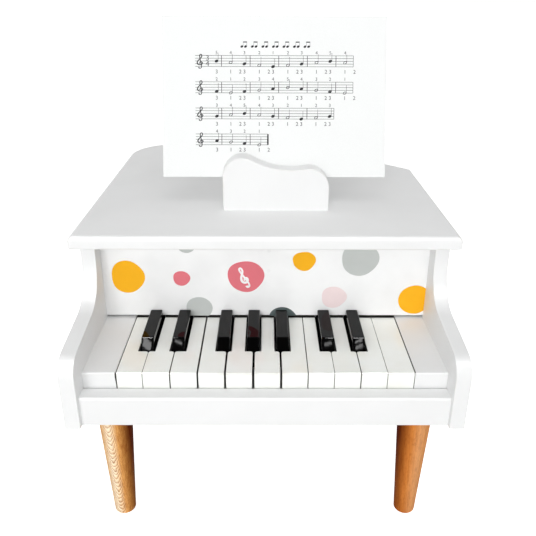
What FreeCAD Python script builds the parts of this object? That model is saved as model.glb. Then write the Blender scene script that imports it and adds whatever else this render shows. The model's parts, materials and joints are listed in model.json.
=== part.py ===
import FreeCAD, Part
import math
import os
import Sketcher
from FreeCAD import Vector

# Toy grand piano on three legs, with a keyboard of eleven white and seven black keys.
# x runs to the treble side, y runs back from the front face of the key slip, z up from the floor.
# The finished parts are shifted in y, so that the middle of the piano's depth is at zero.

# Driving sizes, in millimetres and degrees.
SIZES = {
    "leg_length": 122.8,
    "leg_top_diameter": 31.3,
    "leg_foot_diameter": 18.8,
    "leg_spacing": 262.6,
    "leg_setback": 37.0,
    "rear_leg_offset": -30.0,
    "rear_leg_margin": 47.0,
    "bolt_diameter": 8.0,
    "bolt_grip": 30.0,
    "bolt_clearance": 0.1,
    "base_thickness": 10.0,
    "case_height": 119.8,
    "panel_thickness": 12.5,
    "cheek_reach": 4.5,
    "cheek_nose_height": 61.0,
    "cheek_arm_rise": 11.0,
    "cheek_nose_radius": 17.0,
    "cheek_neck_radius": 34.0,
    "neck_setback": 17.5,
    "lid_thickness": 12.0,
    "lid_overhang": 8.0,
    "lid_round": 5.0,
    "lid_depth": 342.5,
    "treble_depth": 218.5,
    "tail_corner_radius": 54.0,
    "tail_shoulder_radius": 80.0,
    "waist_radius": 120.0,
    "waist_straight": 30.0,
    "slip_thickness": 15.0,
    "slip_height": 26.5,
    "slip_round": 2.5,
    "slip_gap": 1.0,
    "key_block_width": 26.35,
    "key_block_round": 1.5,
    "key_block_margin": 12.0,
    "fascia_thickness": 10.0,
    "fascia_gap": 2.2,
    "key_pitch": 22.3,
    "keyboard_shift": 0.8,
    "key_gap": 1.0,
    "key_height": 17.0,
    "key_room": 13.1,
    "key_visible_length": 94.0,
    "key_front_ease": 1.0,
    "key_tail_length": 80.0,
    "key_pivot_setback": 20.0,
    "key_pivot_height": 8.0,
    "key_dip": 4.0,
    "key_rest_gap": 0.3,
    "black_key_length": 58.3,
    "black_key_width": 11.5,
    "black_key_top_width": 10.6,
    "black_key_rise": 9.0,
    "black_key_slope": 7.3,
    "black_key_gap": 0.8,
    "pivot_rod_diameter": 4.0,
    "pivot_clearance": 0.05,
    "rod_end_gap": 0.5,
    "rod_socket_depth": 8.0,
    "hammer_setback": 55.0,
    "hammer_rise": 13.1,
    "hammer_width": 9.0,
    "hammer_reach": 64.0,
    "hammer_head_width": 10.0,
    "hammer_head_height": 10.0,
    "hammer_head_slope": 3.5,
    "hammer_arm_height": 6.0,
    "hammer_boss_width": 12.0,
    "hammer_boss_wall": 3.5,
    "hammer_heel_offset": 20.0,
    "hammer_heel_width": 8.0,
    "hammer_heel_slope": 3.5,
    "hammer_swing": 15.0,
    "strike_gap": 0.6,
    "rest_rail_width": 14.0,
    "rest_felt_thickness": 3.0,
    "felt_dip_gap": 0.4,
    "front_felt_width": 12.0,
    "front_felt_setback": 3.0,
    "tone_bar_setback": 17.0,
    "tone_bar_width": 9.0,
    "tone_bar_thickness": 4.0,
    "long_tone_bar": 120.0,
    "short_tone_bar": 84.0,
    "tone_rail_width": 10.0,
    "tone_rail_height": 7.0,
    "tone_felt_width": 7.0,
    "tone_felt_thickness": 3.0,
    "clamp_thickness": 6.0,
    "rest_width": 100.0,
    "rest_thickness": 28.0,
    "rest_offset": 10.0,
    "rest_setback": 69.5,
    "rest_bass_height": 50.4,
    "rest_bass_radius": 18.4,
    "rest_treble_height": 40.4,
    "rest_treble_radius": 19.0,
    "rest_dip_radius": 80.0,
    "slot_height": 28.7,
    "slot_setback": 13.0,
    "slot_width": 1.8,
    "slot_lean": 18.5,
    "sheet_width": 210.0,
    "sheet_length": 148.0,
    "sheet_thickness": 0.6,
    "sheet_offset": 8.3,
    "sheet_seat_gap": 0.3,
}

# White keys in each run from one pair of neighbours to the next, with a black key between each two.
KEY_RUNS = (("c", "d", "e"), ("f", "g", "a", "b"), ("c", "d", "e"), ("f",))
# The octave that each run belongs to, counted from the bass.
RUN_OCTAVES = (1, 1, 2, 2)
# Share of a free bar's length from its end to the point that stays still as it rings.
NODE_SHARE = 0.224
ROOT_TWO = math.sqrt(2.0)
# How far a point may lie from a worked-out place and still count as there.
PLACE_TOLERANCE = 0.01

document = FreeCAD.newDocument("toy_piano")
sheet = document.addObject("Spreadsheet::Sheet", "sizes")


class Size:
    """A length or angle with its value and the sheet expression that gives it."""

    def __init__(self, value, text):
        self.value = float(value)
        self.text = text

    def __add__(self, other):
        other = as_size(other)
        return Size(self.value + other.value, f"({self.text} + {other.text})")

    def __sub__(self, other):
        other = as_size(other)
        return Size(self.value - other.value, f"({self.text} - {other.text})")

    def __mul__(self, other):
        other = as_size(other)
        return Size(self.value * other.value, f"({self.text} * {other.text})")

    def __truediv__(self, other):
        other = as_size(other)
        return Size(self.value / other.value, f"({self.text} / {other.text})")

    def __neg__(self):
        return Size(-self.value, f"(0 - {self.text})")


def as_size(number):
    """A Size as it is, or a plain number made into one."""
    if isinstance(number, Size):
        return number
    return Size(number, f"({float(number)!r})")


def root(size):
    """Square root of a Size."""
    return Size(math.sqrt(size.value), f"sqrt({size.text})")


def sine(angle):
    """Sine of a Size in degrees."""
    return Size(math.sin(math.radians(angle.value)), f"sin({angle.text})")


def cosine(angle):
    """Cosine of a Size in degrees."""
    return Size(math.cos(math.radians(angle.value)), f"cos({angle.text})")


def fill_sheet():
    """Write each driving size into a cell of its own and give the cell its name."""
    for row, (name, value) in enumerate(SIZES.items(), 1):
        sheet.set(f"A{row}", name)
        sheet.set(f"B{row}", str(value))
        sheet.setAlias(f"B{row}", name)
    document.recompute()
    return {name: Size(value, f"sizes.{name}") for name, value in SIZES.items()}


S = fill_sheet()
ZERO = as_size(0.0)

# Places worked out from the driving sizes.
white_count = sum(len(run) for run in KEY_RUNS)
keyboard_half = S["key_pitch"] * (white_count / 2)
keyboard_left = S["keyboard_shift"] - keyboard_half
keyboard_right = S["keyboard_shift"] + keyboard_half
inner_half = keyboard_half + S["key_block_width"]
outer_half = inner_half + S["panel_thickness"]
lid_half = outer_half + S["lid_overhang"]
wall_inset = S["lid_overhang"] + S["panel_thickness"]

base_top = S["leg_length"] + S["base_thickness"]
key_bottom = base_top + S["key_room"]
key_top = key_bottom + S["key_height"]
lid_bottom = S["leg_length"] + S["case_height"]
lid_top = lid_bottom + S["lid_thickness"]

key_front = S["slip_thickness"] + S["slip_gap"]
fascia_front = key_front + S["key_visible_length"]
neck_front = fascia_front - S["neck_setback"]
lid_front = neck_front - S["lid_overhang"]
tail_back = lid_front + S["lid_depth"]
treble_corner = lid_front + S["treble_depth"]
depth_centre = (tail_back - S["cheek_reach"]) / 2

key_pivot_y = fascia_front + S["key_pivot_setback"]
key_pivot_z = key_bottom + S["key_pivot_height"]
key_tail = key_pivot_y + S["key_tail_length"]
hammer_pivot_y = key_pivot_y + S["hammer_setback"]
hammer_pivot_z = key_top + S["hammer_rise"]
rod_radius = S["pivot_rod_diameter"] / 2
pivot_hole_radius = rod_radius + S["pivot_clearance"]


def place(part, x, y, z):
    """Bind the place of a part, given from the front face of the key slip, to the sheet."""
    part.setExpression("Placement.Base.x", as_size(x).text)
    part.setExpression("Placement.Base.y", (as_size(y) - depth_centre).text)
    part.setExpression("Placement.Base.z", as_size(z).text)


def new_body(label, x, y, z):
    """An empty body with its label and its place."""
    body = document.addObject("PartDesign::Body", label)
    body.Label = label
    place(body, x, y, z)
    return body


def new_box(label, x, y, z, width, depth, height):
    """A plain board, given by its lowest corner and its three sizes."""
    box = document.addObject("Part::Box", label)
    box.Label = label
    box.setExpression("Length", as_size(width).text)
    box.setExpression("Width", as_size(depth).text)
    box.setExpression("Height", as_size(height).text)
    place(box, x, y, z)
    return box


def new_group(label, members):
    """Separate like pieces kept together under one label."""
    group = document.addObject("Part::Compound", label)
    group.Label = label
    group.Links = members
    return group


def new_sketch(body, name, role, lift=ZERO):
    """An empty sketch on one of the body's own origin planes, lifted along its normal."""
    sketch = body.newObject("Sketcher::SketchObject", f"{body.Name}_{name}")
    plane = next(item for item in body.Origin.OriginFeatures if item.Role == role)
    sketch.AttachmentSupport = [(plane, "")]
    sketch.MapMode = "FlatFace"
    sketch.setExpression("AttachmentOffset.Base.z", as_size(lift).text)
    return sketch


def bind(sketch, constraint, name, size):
    """Add a named dimension to a sketch and tie it to the sheet."""
    number = sketch.addConstraint(constraint)
    sketch.renameConstraint(number, name)
    sketch.setExpression(f"Constraints.{name}", size.text)


def as_vector(point):
    """A sketch point at its present place."""
    return Vector(point[0].value, point[1].value, 0.0)


def line_to(x, y):
    """A straight step of an outline."""
    return {"end": (as_size(x), as_size(y))}


def arc_to(end, centre, radius, left):
    """A round step of an outline, which turns to the left or to the right."""
    return {"end": end, "centre": centre, "radius": radius, "left": left}


def draw_step(sketch, start, step):
    """Draw one step; the result is its number and which of its ends come first and last."""
    first = as_vector(start)
    last = as_vector(step["end"])
    if "centre" not in step:
        return sketch.addGeometry(Part.LineSegment(first, last), False), 1, 2
    centre = as_vector(step["centre"])
    circle = Part.Circle(centre, Vector(0, 0, 1), step["radius"].value)
    angles = [math.atan2(point.y - centre.y, point.x - centre.x) for point in (first, last)]
    if step["left"]:
        return sketch.addGeometry(Part.ArcOfCircle(circle, *angles), False), 1, 2
    return sketch.addGeometry(Part.ArcOfCircle(circle, *reversed(angles)), False), 2, 1


def draw_outline(sketch, steps):
    """Draw a closed outline, with every corner and arc centre tied to the sheet."""
    starts = [steps[index - 1]["end"] for index in range(len(steps))]
    drawn = [draw_step(sketch, start, step) for start, step in zip(starts, steps)]
    for index, (edge, _, last) in enumerate(drawn):
        following, first, _ = drawn[(index + 1) % len(drawn)]
        sketch.addConstraint(Sketcher.Constraint("Coincident", edge, last, following, first))
    for index, (step, (edge, _, last)) in enumerate(zip(steps, drawn)):
        across, up = step["end"]
        across_rule = Sketcher.Constraint("DistanceX", -1, 1, edge, last, across.value)
        up_rule = Sketcher.Constraint("DistanceY", -1, 1, edge, last, up.value)
        bind(sketch, across_rule, f"across_{index}", across)
        bind(sketch, up_rule, f"up_{index}", up)
        if "centre" in step:
            chord = as_vector(step["end"]) - as_vector(starts[index])
            if abs(chord.x) > abs(chord.y):
                kind, centre_place = "DistanceY", step["centre"][1]
            else:
                kind, centre_place = "DistanceX", step["centre"][0]
            centre_rule = Sketcher.Constraint(kind, -1, 1, edge, 3, centre_place.value)
            bind(sketch, centre_rule, f"centre_{index}", centre_place)


def draw_circle(sketch, name, x, y, radius):
    """Draw a circle with its centre and radius tied to the sheet."""
    centre = (as_size(x), as_size(y))
    circle = Part.Circle(as_vector(centre), Vector(0, 0, 1), radius.value)
    edge = sketch.addGeometry(circle, False)
    across_rule = Sketcher.Constraint("DistanceX", -1, 1, edge, 3, centre[0].value)
    up_rule = Sketcher.Constraint("DistanceY", -1, 1, edge, 3, centre[1].value)
    bind(sketch, across_rule, f"{name}_across", centre[0])
    bind(sketch, up_rule, f"{name}_up", centre[1])
    bind(sketch, Sketcher.Constraint("Radius", edge, radius.value), f"{name}_radius", radius)


def rectangle(x0, y0, x1, y1):
    """Steps of a rectangle from its lowest to its highest corner."""
    return [line_to(x0, y0), line_to(x1, y0), line_to(x1, y1), line_to(x0, y1)]


def pad(body, sketch, length, backward=False):
    """Raise a sketch into a solid along its normal, or against it."""
    feature = body.newObject("PartDesign::Pad", f"{sketch.Name}_pad")
    feature.Profile = sketch
    feature.Reversed = backward
    feature.setExpression("Length", as_size(length).text)
    document.recompute()
    return feature


def cut(body, sketch, length=None, forward=False):
    """Sink a sketch into the body, to a depth or right through, and see that it removes material."""
    before = body.Shape.Volume
    feature = body.newObject("PartDesign::Pocket", f"{sketch.Name}_cut")
    feature.Profile = sketch
    feature.Reversed = forward
    if length is None:
        feature.Type = "ThroughAll"
    else:
        feature.setExpression("Length", as_size(length).text)
    document.recompute()
    if body.Shape.Volume >= before:
        raise RuntimeError(f"{feature.Name} removes nothing")
    return feature


def turn(body, sketch):
    """Turn a half section once round the upright axis of its sketch."""
    feature = body.newObject("PartDesign::Revolution", f"{sketch.Name}_turn")
    feature.Profile = sketch
    feature.ReferenceAxis = (sketch, ["V_Axis"])
    feature.Angle = 360.0
    document.recompute()
    return feature


def edges_at(base, wanted):
    """Names of those edges of a feature whose middle point passes the test."""
    names = []
    for number, edge in enumerate(base.Shape.Edges, 1):
        middle = edge.valueAt((edge.FirstParameter + edge.LastParameter) / 2)
        if wanted(middle):
            names.append(f"Edge{number}")
    return names


def round_edges(body, base, radius, wanted):
    """Round the edges of a body that pass the test."""
    feature = body.newObject("PartDesign::Fillet", f"{base.Name}_round")
    feature.Base = (base, edges_at(base, wanted))
    feature.setExpression("Radius", radius.text)
    document.recompute()
    return feature


def ease_edges(body, base, width, wanted):
    """Take the sharpness off the edges of a body that pass the test."""
    feature = body.newObject("PartDesign::Chamfer", f"{base.Name}_ease")
    feature.Base = (base, edges_at(base, wanted))
    feature.setExpression("Size", width.text)
    document.recompute()
    return feature


def near(value, size):
    """Whether a coordinate lies at a worked-out place."""
    return abs(value - size.value) < PLACE_TOLERANCE


def blend_centre(first, first_radius, second, second_radius, radius):
    """Centre of the hollow arc that touches two round ends from above or from outside."""
    across = second[0] - first[0]
    up = second[1] - first[1]
    span = root(across * across + up * up)
    first_reach = first_radius + radius
    second_reach = second_radius + radius
    along = (first_reach * first_reach - second_reach * second_reach + span * span) / (span * 2)
    aside = root(first_reach * first_reach - along * along)
    return (
        first[0] + (across * along - up * aside) / span,
        first[1] + (up * along + across * aside) / span,
    )


def touch_point(centre, radius, other, other_radius):
    """Point where a round end meets the hollow arc round another centre."""
    share = radius / (radius + other_radius)
    return (
        centre[0] + (other[0] - centre[0]) * share,
        centre[1] + (other[1] - centre[1]) * share,
    )


def grand_back(inset):
    """Steps of the grand's curved back, from the treble corner to the bass side, set in from the lid."""
    diagonal = S["waist_straight"] / ROOT_TWO
    waist_away = S["waist_radius"] / ROOT_TWO
    skew = inset / ROOT_TWO
    waist_radius = S["waist_radius"] + inset
    shoulder_radius = S["tail_shoulder_radius"] - inset
    corner_radius = S["tail_corner_radius"] - inset
    waist = (lid_half - diagonal + waist_away, treble_corner + diagonal + waist_away)
    shoulder_y = tail_back - S["tail_shoulder_radius"]
    reach = waist_radius + shoulder_radius
    rise = waist[1] - shoulder_y
    shoulder = (waist[0] - root(reach * reach - rise * rise), shoulder_y)
    corner = (S["tail_corner_radius"] - lid_half, tail_back - S["tail_corner_radius"])
    meeting = touch_point(shoulder, shoulder_radius, waist, waist_radius)
    return [
        line_to(lid_half - inset, treble_corner - inset * (ROOT_TWO - 1)),
        line_to(lid_half - diagonal - skew, treble_corner + diagonal - skew),
        arc_to(meeting, waist, waist_radius, left=False),
        arc_to((shoulder[0], tail_back - inset), shoulder, shoulder_radius, left=True),
        line_to(corner[0], tail_back - inset),
        arc_to((inset - lid_half, corner[1]), corner, corner_radius, left=True),
    ]


def walked_back(steps):
    """The same steps walked the other way, from the last end to the first."""
    back = []
    for index in range(len(steps) - 1, 0, -1):
        step = dict(steps[index], end=steps[index - 1]["end"])
        if "centre" in step:
            step["left"] = not step["left"]
        back.append(step)
    return back


inner_back = grand_back(wall_inset)
treble_wall_end = inner_back[0]["end"][1]
bass_wall_end = inner_back[-1]["end"][1]
block_back = key_pivot_y + S["key_block_margin"]


def make_base_board():
    """Bottom of the case, with a hole for each leg bolt."""
    body = new_body("base_board", ZERO, ZERO, S["leg_length"])
    plan = new_sketch(body, "plan", "XY_Plane")
    front = S["slip_thickness"]
    draw_outline(plan, inner_back + [line_to(-inner_half, front), line_to(inner_half, front)])
    pad(body, plan, S["base_thickness"])
    holes = new_sketch(body, "bolt_holes", "XY_Plane")
    for name, (x, y) in leg_places().items():
        draw_circle(holes, name, x, y, bolt_hole_radius)
    cut(body, holes, forward=True)
    return body


def make_side_panel(label, side, rear):
    """Side of the case, whose front drops from the lid in a hollow and a rounded nose."""
    body = new_body(label, inner_half * side, ZERO, S["leg_length"])
    profile = new_sketch(body, "profile", "YZ_Plane")
    nose = (-S["cheek_reach"], S["cheek_nose_height"])
    neck = (neck_front, S["cheek_nose_height"] + S["cheek_arm_rise"])
    draw_outline(profile, [
        line_to(nose[0], ZERO),
        line_to(rear, ZERO),
        line_to(rear, S["case_height"]),
        line_to(neck[0], S["case_height"]),
        line_to(*neck),
        line_to(*nose),
    ])
    board = pad(body, profile, S["panel_thickness"], backward=side < 0)
    socket = new_sketch(body, "rod_socket", "YZ_Plane")
    draw_circle(socket, "rod", hammer_pivot_y, hammer_pivot_z - S["leg_length"], pivot_hole_radius)
    board = cut(body, socket, S["rod_socket_depth"], forward=side > 0)
    necked = round_edges(body, board, S["cheek_neck_radius"],
                         lambda point: near(point.y, neck[0]) and near(point.z, neck[1]))
    round_edges(body, necked, S["cheek_nose_radius"],
                lambda point: near(point.y, nose[0]) and near(point.z, nose[1]))
    return body


def make_bent_back_panel():
    """Bent wall that closes the case from the treble corner round the tail to the bass side."""
    body = new_body("bent_back_panel", ZERO, ZERO, S["leg_length"])
    plan = new_sketch(body, "plan", "XY_Plane")
    outer_back = grand_back(S["lid_overhang"])
    turn_in = line_to(-inner_half, bass_wall_end)
    turn_out = line_to(outer_half, treble_wall_end)
    draw_outline(plan, outer_back + [turn_in] + walked_back(inner_back) + [turn_out])
    pad(body, plan, S["case_height"])
    return body


def make_lid():
    """Top board, with its upper edge rounded over all the way round."""
    body = new_body("lid", ZERO, ZERO, lid_bottom)
    plan = new_sketch(body, "plan", "XY_Plane")
    draw_outline(plan, grand_back(ZERO) + [line_to(-lid_half, lid_front), line_to(lid_half, lid_front)])
    board = pad(body, plan, S["lid_thickness"])
    round_edges(body, board, S["lid_round"], lambda point: near(point.z, S["lid_thickness"]))
    return body


def make_fascia():
    """Upright board behind the keys, which carries the spots."""
    bottom = key_top + S["fascia_gap"]
    return new_box("fascia", -inner_half, fascia_front, bottom,
                   inner_half * 2, S["fascia_thickness"], lid_bottom - bottom)


def make_key_slip():
    """Rail across the front of the keyboard, eased along its upper edge."""
    body = new_body("key_slip", -inner_half, ZERO, S["leg_length"])
    section = new_sketch(body, "section", "YZ_Plane")
    draw_outline(section, rectangle(ZERO, ZERO, S["slip_thickness"], S["slip_height"]))
    rail = pad(body, section, inner_half * 2)
    round_edges(body, rail, S["slip_round"],
                lambda point: near(point.y, ZERO) and near(point.z, S["slip_height"]))
    return body


def make_key_block(label, x, width):
    """Block that fills the end of the keyboard, with a sawn slot for an end of the key pivot rod."""
    body = new_body(label, x, ZERO, base_top)
    section = new_sketch(body, "section", "YZ_Plane")
    height = key_top - base_top
    draw_outline(section, rectangle(key_front, ZERO, block_back, height))
    block = pad(body, section, width)
    slot = new_sketch(body, "rod_slot", "YZ_Plane")
    slot_floor = key_pivot_z - pivot_hole_radius - base_top
    draw_outline(slot, rectangle(key_pivot_y - pivot_hole_radius, slot_floor,
                                 key_pivot_y + pivot_hole_radius, height))
    block = cut(body, slot, forward=True)
    round_edges(body, block, S["key_block_round"],
                lambda point: near(point.y, key_front) and near(point.z, height))
    return body


def make_rod(label, y, z, length):
    """Steel rod across the case, on which a row of levers turns."""
    rod = document.addObject("Part::Cylinder", label)
    rod.Label = label
    rod.setExpression("Radius", rod_radius.text)
    rod.setExpression("Height", length.text)
    rod.Placement = FreeCAD.Placement(Vector(), FreeCAD.Rotation(Vector(0, 1, 0), 90))
    place(rod, length / -2, y, z)
    return rod


rear_leg_y = tail_back - S["rear_leg_margin"]
bolt_radius = S["bolt_diameter"] / 2
bolt_hole_radius = bolt_radius + S["bolt_clearance"]


def leg_places():
    """Where each leg stands, by name."""
    half = S["leg_spacing"] / 2
    return {
        "front_left": (-half, S["leg_setback"]),
        "front_right": (half, S["leg_setback"]),
        "rear": (S["rear_leg_offset"], rear_leg_y),
    }


def make_leg(name, x, y):
    """Turned leg that narrows to the floor, bored from above for its bolt."""
    body = new_body(f"{name}_leg", x, y, ZERO)
    section = new_sketch(body, "section", "XZ_Plane")
    bore_floor = S["leg_length"] - S["bolt_grip"] - S["bolt_clearance"]
    draw_outline(section, [
        line_to(ZERO, ZERO),
        line_to(S["leg_foot_diameter"] / 2, ZERO),
        line_to(S["leg_top_diameter"] / 2, S["leg_length"]),
        line_to(bolt_hole_radius, S["leg_length"]),
        line_to(bolt_hole_radius, bore_floor),
        line_to(ZERO, bore_floor),
    ])
    turn(body, section)
    return body


def make_leg_bolt(name, x, y):
    """Headless bolt that joins a leg to the base board."""
    bolt = document.addObject("Part::Cylinder", f"{name}_leg_bolt")
    bolt.setExpression("Radius", bolt_radius.text)
    bolt.setExpression("Height", (S["bolt_grip"] + S["base_thickness"]).text)
    place(bolt, x, y, S["leg_length"] - S["bolt_grip"])
    return bolt


def key_layout():
    """Every key in order: its name, its left edge, its notches and the middle of its tail."""
    keys = []
    run_start = keyboard_left
    for run, octave in zip(KEY_RUNS, RUN_OCTAVES):
        slot = S["key_pitch"] * (len(run) / (2 * len(run) - 1))
        for index, note in enumerate(run):
            left = run_start + S["key_pitch"] * index + S["key_gap"] / 2
            tail_left = slot * (2 * index) - S["key_pitch"] * index
            keys.append({
                "label": f"white_key_{note}{octave}",
                "hammer": f"hammer_{note}{octave}",
                "black": False,
                "x": left,
                "tail_left": tail_left if index > 0 else ZERO,
                "tail_right": tail_left + slot - S["key_gap"],
                "notched_left": index > 0,
                "notched_right": index < len(run) - 1,
                "tail_x": left + tail_left + (slot - S["key_gap"]) / 2,
            })
            if index < len(run) - 1:
                middle = run_start + slot * (2 * index + 1.5)
                keys.append({
                    "label": f"black_key_{note}{octave}_sharp",
                    "hammer": f"hammer_{note}{octave}_sharp",
                    "black": True,
                    "x": middle,
                    "tail_x": middle,
                })
        run_start = run_start + S["key_pitch"] * len(run)
    return keys


key_reach = key_pivot_y - key_front
black_front = fascia_front - S["black_key_gap"] - S["black_key_length"]
black_reach = key_pivot_y - black_front
black_back = S["black_key_gap"] + S["key_pivot_setback"]
key_sole = -S["key_pivot_height"]
key_crown = S["key_height"] - S["key_pivot_height"]


def saw_pivot_slot(body):
    """Slot sawn across the underside of a key, in which it sits on the pivot rod."""
    slot = new_sketch(body, "pivot_slot", "YZ_Plane")
    draw_outline(slot, rectangle(-pivot_hole_radius, key_sole, pivot_hole_radius, pivot_hole_radius))
    return cut(body, slot, forward=True)


def make_white_key(key):
    """White key: a broad front, a tail notched beside the black keys, and an eased front edge."""
    body = new_body(key["label"], key["x"], key_pivot_y, key_pivot_z)
    plan = new_sketch(body, "plan", "XY_Plane", key_sole)
    width = S["key_pitch"] - S["key_gap"]
    notch = -(black_reach + S["key_gap"])
    tail = S["key_tail_length"]
    steps = [line_to(ZERO, -key_reach), line_to(width, -key_reach)]
    if key["notched_right"]:
        steps += [line_to(width, notch), line_to(key["tail_right"], notch), line_to(key["tail_right"], tail)]
    else:
        steps += [line_to(width, tail)]
    if key["notched_left"]:
        steps += [line_to(key["tail_left"], tail), line_to(key["tail_left"], notch), line_to(ZERO, notch)]
    else:
        steps += [line_to(ZERO, tail)]
    draw_outline(plan, steps)
    pad(body, plan, S["key_height"])
    lever = saw_pivot_slot(body)
    ease_edges(body, lever, S["key_front_ease"],
               lambda point: near(point.y, -key_reach) and near(point.z, key_crown))
    return body


def make_black_key(key):
    """Black key: a narrow lever that carries a raised cap with sloping sides and front."""
    half = S["black_key_width"] / 2
    body = new_body(key["label"], key["x"] - half, key_pivot_y, key_pivot_z)
    plan = new_sketch(body, "plan", "XY_Plane", key_sole)
    draw_outline(plan, rectangle(ZERO, -black_reach, S["black_key_width"], S["key_tail_length"]))
    pad(body, plan, S["key_height"])
    section = new_sketch(body, "cap_section", "XZ_Plane", black_back)
    side = half - S["black_key_top_width"] / 2
    cap_top = key_crown + S["black_key_rise"]
    draw_outline(section, [
        line_to(ZERO, key_crown),
        line_to(S["black_key_width"], key_crown),
        line_to(S["black_key_width"] - side, cap_top),
        line_to(side, cap_top),
    ])
    pad(body, section, S["black_key_length"])
    slope = new_sketch(body, "cap_slope", "YZ_Plane")
    draw_outline(slope, [
        line_to(-black_reach, key_crown),
        line_to(S["black_key_slope"] - black_reach, cap_top),
        line_to(-black_reach, cap_top),
    ])
    cut(body, slope, forward=True)
    saw_pivot_slot(body)
    return body


def make_hammer(key):
    """Hammer: it hooks under its rod, with a heel over the key's tail and a head under the tone bar."""
    body = new_body(key["hammer"], key["tail_x"] - S["hammer_width"] / 2, hammer_pivot_y, hammer_pivot_z)
    profile = new_sketch(body, "profile", "YZ_Plane")
    arm = S["hammer_arm_height"] / 2
    boss = S["hammer_boss_width"] / 2
    boss_bottom = -(pivot_hole_radius + S["hammer_boss_wall"])
    heel_front = S["hammer_heel_offset"] - S["hammer_heel_width"] / 2
    heel_back = heel_front + S["hammer_heel_width"]
    heel_tip = S["key_rest_gap"] - S["hammer_rise"]
    heel_slope = S["hammer_heel_slope"]
    head_front = S["hammer_reach"] - S["hammer_head_width"] / 2
    head_back = head_front + S["hammer_head_width"]
    head_top = S["hammer_head_height"]
    head_slope = S["hammer_head_slope"]
    draw_outline(profile, [
        line_to(-boss, boss_bottom),
        line_to(boss, boss_bottom),
        line_to(boss, -arm),
        line_to(heel_front, -arm),
        line_to(heel_front, heel_tip + heel_slope),
        line_to(heel_front + heel_slope, heel_tip),
        line_to(heel_back - heel_slope, heel_tip),
        line_to(heel_back, heel_tip + heel_slope),
        line_to(heel_back, -arm),
        line_to(head_back, -arm),
        line_to(head_back, head_top - head_slope),
        line_to(head_back - head_slope, head_top),
        line_to(head_front + head_slope, head_top),
        line_to(head_front, head_top - head_slope),
        line_to(head_front, arm),
        line_to(pivot_hole_radius, arm),
        line_to(pivot_hole_radius, -pivot_hole_radius),
        line_to(-pivot_hole_radius, -pivot_hole_radius),
        line_to(-pivot_hole_radius, arm),
        line_to(-boss, arm),
    ])
    pad(body, profile, S["hammer_width"])
    return body


full_dip = key_reach * sine(S["key_dip"]) + S["key_pivot_height"] * cosine(S["key_dip"])
dip_felt_thickness = S["key_room"] + S["key_pivot_height"] - full_dip - S["felt_dip_gap"]
rest_felt_top = key_bottom - S["key_rest_gap"]
striking_edge = S["hammer_reach"] + S["hammer_head_width"] / 2 - S["hammer_head_slope"]
strike_height = (striking_edge * sine(S["hammer_swing"])
                 + S["hammer_head_height"] * cosine(S["hammer_swing"]) + S["strike_gap"])
tone_bar_bottom = hammer_pivot_z + strike_height
tone_bar_front = hammer_pivot_y + S["tone_bar_setback"]
clamp_felt_bottom = tone_bar_bottom + S["tone_bar_thickness"]


def tone_bar_length(x):
    """Length of the tone bar at a place across the keyboard, shorter to the treble."""
    share = (x - keyboard_left) / (keyboard_half * 2)
    return S["long_tone_bar"] - (S["long_tone_bar"] - S["short_tone_bar"]) * share


def make_cross_strip(label, share, width, bottom, height):
    """Strip from side panel to side panel along one share of the tone bars' lengths."""
    body = new_body(label, ZERO, tone_bar_front, bottom)
    plan = new_sketch(body, "plan", "XY_Plane")
    bass = tone_bar_length(-inner_half) * share
    treble = tone_bar_length(inner_half) * share
    half = width / 2
    draw_outline(plan, [
        line_to(-inner_half, bass - half),
        line_to(inner_half, treble - half),
        line_to(inner_half, treble + half),
        line_to(-inner_half, bass + half),
    ])
    pad(body, plan, height)
    return body


def make_tone_bars(keys):
    """One flat steel bar above each hammer."""
    bars = []
    for key in keys:
        label = key["hammer"].replace("hammer", "tone_bar")
        bars.append(new_box(label, key["tail_x"] - S["tone_bar_width"] / 2, tone_bar_front, tone_bar_bottom,
                            S["tone_bar_width"], tone_bar_length(key["tail_x"]), S["tone_bar_thickness"]))
    return new_group("tone_bars", bars)


def make_tone_bar_rails():
    """Two rails under the points where the bars stay still."""
    bottom = tone_bar_bottom - S["tone_felt_thickness"] - S["tone_rail_height"]
    return new_group("tone_bar_rails", [
        make_cross_strip(f"{name}_tone_rail", share, S["tone_rail_width"], bottom, S["tone_rail_height"])
        for name, share in (("front", NODE_SHARE), ("rear", 1 - NODE_SHARE))
    ])


def make_tone_bar_clamp():
    """Strip over the front rail that holds every bar down through its felt."""
    return make_cross_strip("tone_bar_clamp", NODE_SHARE, S["tone_rail_width"],
                            clamp_felt_bottom + S["tone_felt_thickness"], S["clamp_thickness"])


def make_key_rest_rail():
    """Rail on the base board under the tails of the keys."""
    height = rest_felt_top - S["rest_felt_thickness"] - base_top
    return new_box("key_rest_rail", keyboard_left, key_tail - S["rest_rail_width"], base_top,
                   keyboard_half * 2, S["rest_rail_width"], height)


def make_felt_strips():
    """Felt that stops the keys front and back, and felt on both sides of the tone bars."""
    width = keyboard_half * 2
    under_bars = tone_bar_bottom - S["tone_felt_thickness"]
    felt = (S["tone_felt_width"], S["tone_felt_thickness"])
    return new_group("felt_strips", [
        new_box("dip_felt", keyboard_left, key_front + S["front_felt_setback"], base_top,
                width, S["front_felt_width"], dip_felt_thickness),
        new_box("rest_felt", keyboard_left, key_tail - S["rest_rail_width"],
                rest_felt_top - S["rest_felt_thickness"],
                width, S["rest_rail_width"], S["rest_felt_thickness"]),
        make_cross_strip("front_tone_felt", NODE_SHARE, felt[0], under_bars, felt[1]),
        make_cross_strip("rear_tone_felt", 1 - NODE_SHARE, felt[0], under_bars, felt[1]),
        make_cross_strip("clamp_felt", NODE_SHARE, felt[0], clamp_felt_bottom, felt[1]),
    ])


rest_front = lid_front + S["rest_setback"]
lean_sine = sine(S["slot_lean"])
lean_cosine = cosine(S["slot_lean"])


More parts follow.
